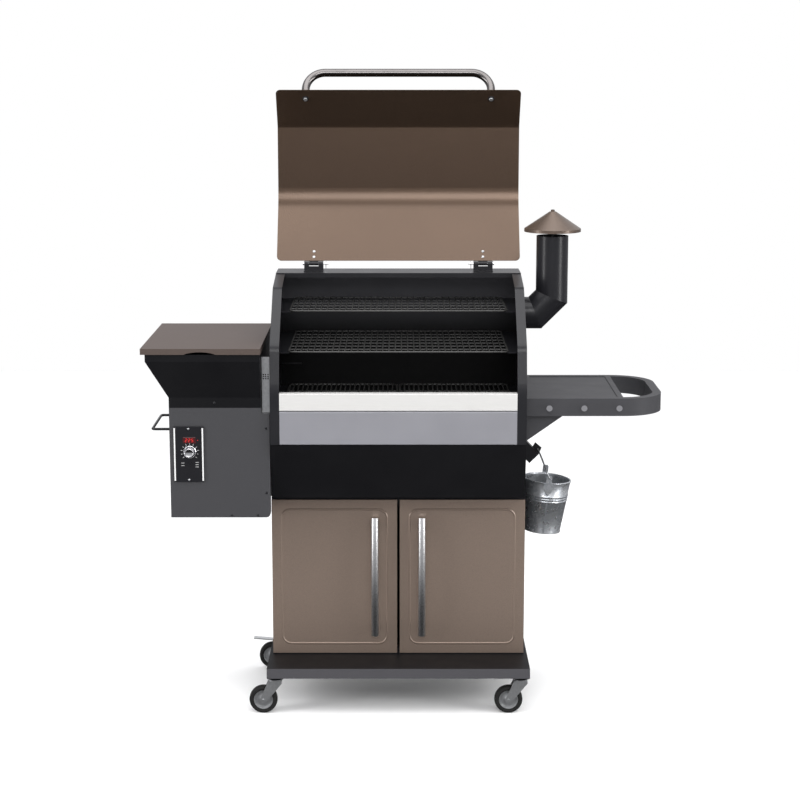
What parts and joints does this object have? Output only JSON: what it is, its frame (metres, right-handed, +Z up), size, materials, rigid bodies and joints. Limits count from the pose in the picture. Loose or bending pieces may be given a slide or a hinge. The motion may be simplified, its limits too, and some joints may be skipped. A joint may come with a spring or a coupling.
{
  "type": "pellet smoker grill",
  "caption": "Freestanding pellet smoker grill: bent-sheet barrel and lid on a two-door cabinet, side hopper with controller, shelf, chimney, grease bucket and casters.",
  "frame": {"origin": "floor, at the middle of the footprint's bounding box", "axes": "+X to the right seen from the front, +Y from front to back, +Z up"},
  "size_m": [1.554, 0.549, 1.9395],
  "materials": {
    "bronze_enamel": "metallic bronze enamel",
    "chrome_tube": "polished",
    "brushed_tube": "brushed",
    "galvanised": "zinc plated",
    "wheel_rubber": "matt",
    "display_glass": "dark red",
    "black_plastic": "satin black",
    "porcelain_wire": "black enamel",
    "black_enamel": "fine orange-peel black enamel"
  },
  "bodies": {
    "grill": {"auger_motor": "galvanised", "barrel_shell": "black_enamel", "base_shelf": "black_enamel", "cabinet_back": "black_enamel", "cabinet_rails": "black_enamel", "cabinet_sides": "black_enamel", "casing_screws": "black_enamel", "chimney_pipe": "black_enamel", "controller_plate": "black_plastic", "display_window": "display_glass", "drain_spout": "black_enamel", "drip_tray": "porcelain_wire", "end_plates": "black_enamel", "fan_housing": "galvanised", "firepot": "galvanised", "front_cover": "black_enamel", "front_panel": "black_enamel", "front_trim": "brushed_tube", "heat_baffle": "porcelain_wire", "heat_guard": "black_enamel", "hopper_bin": "black_enamel", "hopper_box": "black_enamel", "hopper_guard": "porcelain_wire", "lid_hinge_pins": "galvanised", "lower_panel": "black_enamel", "main_grates": "porcelain_wire", "power_inlet": "black_plastic", "shelf_rim": "black_enamel", "shelf_tray": "black_enamel", "side_handle": "black_enamel", "temperature_probe": "galvanised", "tool_pegs": "chrome_tube", "top_rail": "black_enamel", "warming_racks": "porcelain_wire"},
    "lid": {"lid_panel": "bronze_enamel", "lid_handle": "chrome_tube", "lid_fasteners": "galvanised", "lid_hinge_leaves": "black_enamel"},
    "hopper_cover": {"hopper_lid": "bronze_enamel"},
    "left_door": {"door_left": "bronze_enamel", "door_handle_left": "brushed_tube"},
    "right_door": {"door_right": "bronze_enamel", "door_handle_right": "brushed_tube"},
    "knob": {"control_knob": "chrome_tube"},
    "button": {"power_button": "black_plastic"},
    "bail": {"bucket_bail": "galvanised"},
    "pail": {"bucket": "galvanised"},
    "cap": {"chimney_cap": "bronze_enamel"},
    "auger_screw": {"auger": "galvanised"},
    "fan": {"fan_impeller": "galvanised"},
    "fork_front_left": {"caster_fork_front_left": "galvanised"},
    "roller_front_left": {"wheel_front_left": "wheel_rubber"},
    "fork_front_right": {"caster_fork_front_right": "galvanised"},
    "roller_front_right": {"wheel_front_right": "wheel_rubber"},
    "fork_rear_left": {"caster_fork_rear_left": "galvanised"},
    "roller_rear_left": {"wheel_rear_left": "wheel_rubber"},
    "brake_left": {"brake_lever_left": "galvanised"},
    "fork_rear_right": {"caster_fork_rear_right": "galvanised"},
    "roller_rear_right": {"wheel_rear_right": "wheel_rubber"},
    "brake_right": {"brake_lever_right": "galvanised"}
  },
  "joints": [
    {"name": "lid_hinge", "type": "hinge", "parent": "grill", "child": "lid", "pos_m": [-0.0185, 0.1555, 1.34], "axis": [1, 0, 0], "range_deg": [0, 133]},
    {"name": "hopper_lid_hinge", "type": "hinge", "parent": "grill", "child": "hopper_cover", "pos_m": [-0.6005, 0.2565, 1.122], "axis": [-1, 0, 0], "range_deg": [0, 95]},
    {"name": "left_door_hinge", "type": "hinge", "parent": "grill", "child": "left_door", "pos_m": [-0.4015, -0.0965, 0.4], "axis": [0, 0, -1], "range_deg": [0, 82]},
    {"name": "right_door_hinge", "type": "hinge", "parent": "grill", "child": "right_door", "pos_m": [0.3645, -0.0965, 0.4], "axis": [0, 0, 1], "range_deg": [0, 110]},
    {"name": "knob_turn", "type": "hinge", "parent": "grill", "child": "knob", "pos_m": [-0.6385, -0.2495, 0.822], "axis": [0, 1, 0], "range_deg": [0, 280]},
    {"name": "button_press", "type": "slide", "parent": "grill", "child": "button", "axis": [0, 1, 0], "range_m": [0, 0.0012], "stiffness_N_per_m": 300},
    {"name": "bail_swing", "type": "hinge", "parent": "grill", "child": "bail", "pos_m": [0.4185, 0.0455, 0.769], "axis": [0, -1, 0], "range_deg": [0, 30]},
    {"name": "bucket_swing", "type": "hinge", "parent": "bail", "child": "pail", "pos_m": [0.4495, 0.0455, 0.693], "axis": [0, -1, 0], "range_deg": [-30, 0]},
    {"name": "cap_height", "type": "slide", "parent": "grill", "child": "cap", "axis": [0, 0, 1], "range_m": [-0.008, 0]},
    {"name": "auger_spin", "type": "hinge", "parent": "grill", "child": "auger_screw", "pos_m": [-0.3185, 0.0055, 0.745], "axis": [1, 0, 0], "continuous": true},
    {"name": "fan_spin", "type": "hinge", "parent": "grill", "child": "fan", "pos_m": [-0.5185, 0.1455, 0.635], "axis": [0, 0, 1], "continuous": true},
    {"name": "swivel_front_left", "type": "hinge", "parent": "grill", "child": "fork_front_left", "pos_m": [-0.3935, -0.2145, 0.105], "axis": [0, 0, 1], "continuous": true},
    {"name": "roll_front_left", "type": "hinge", "parent": "fork_front_left", "child": "roller_front_left", "pos_m": [-0.4315, -0.2145, 0.043], "axis": [0, 1, 0], "continuous": true},
    {"name": "swivel_front_right", "type": "hinge", "parent": "grill", "child": "fork_front_right", "pos_m": [0.3565, -0.2145, 0.105], "axis": [0, 0, 1], "continuous": true},
    {"name": "roll_front_right", "type": "hinge", "parent": "fork_front_right", "child": "roller_front_right", "pos_m": [0.3185, -0.2145, 0.043], "axis": [0, 1, 0], "continuous": true},
    {"name": "swivel_rear_left", "type": "hinge", "parent": "grill", "child": "fork_rear_left", "pos_m": [-0.3935, 0.2115, 0.105], "axis": [0, 0, 1], "continuous": true},
    {"name": "roll_rear_left", "type": "hinge", "parent": "fork_rear_left", "child": "roller_rear_left", "pos_m": [-0.4315, 0.2115, 0.043], "axis": [0, 1, 0], "continuous": true},
    {"name": "brake_left_press", "type": "hinge", "parent": "fork_rear_left", "child": "brake_left", "pos_m": [-0.4055, 0.2115, 0.094], "axis": [0, -1, 0], "range_deg": [0, 10]},
    {"name": "swivel_rear_right", "type": "hinge", "parent": "grill", "child": "fork_rear_right", "pos_m": [0.3565, 0.2115, 0.105], "axis": [0, 0, 1], "continuous": true},
    {"name": "roll_rear_right", "type": "hinge", "parent": "fork_rear_right", "child": "roller_rear_right", "pos_m": [0.3185, 0.2115, 0.043], "axis": [0, 1, 0], "continuous": true},
    {"name": "brake_right_press", "type": "hinge", "parent": "fork_rear_right", "child": "brake_right", "pos_m": [0.3445, 0.2115, 0.094], "axis": [0, -1, 0], "range_deg": [0, 10]}
  ],
  "couplings": [
    {"joint": "bucket_swing", "follows": "bail_swing", "ratio": -1}
  ]
}
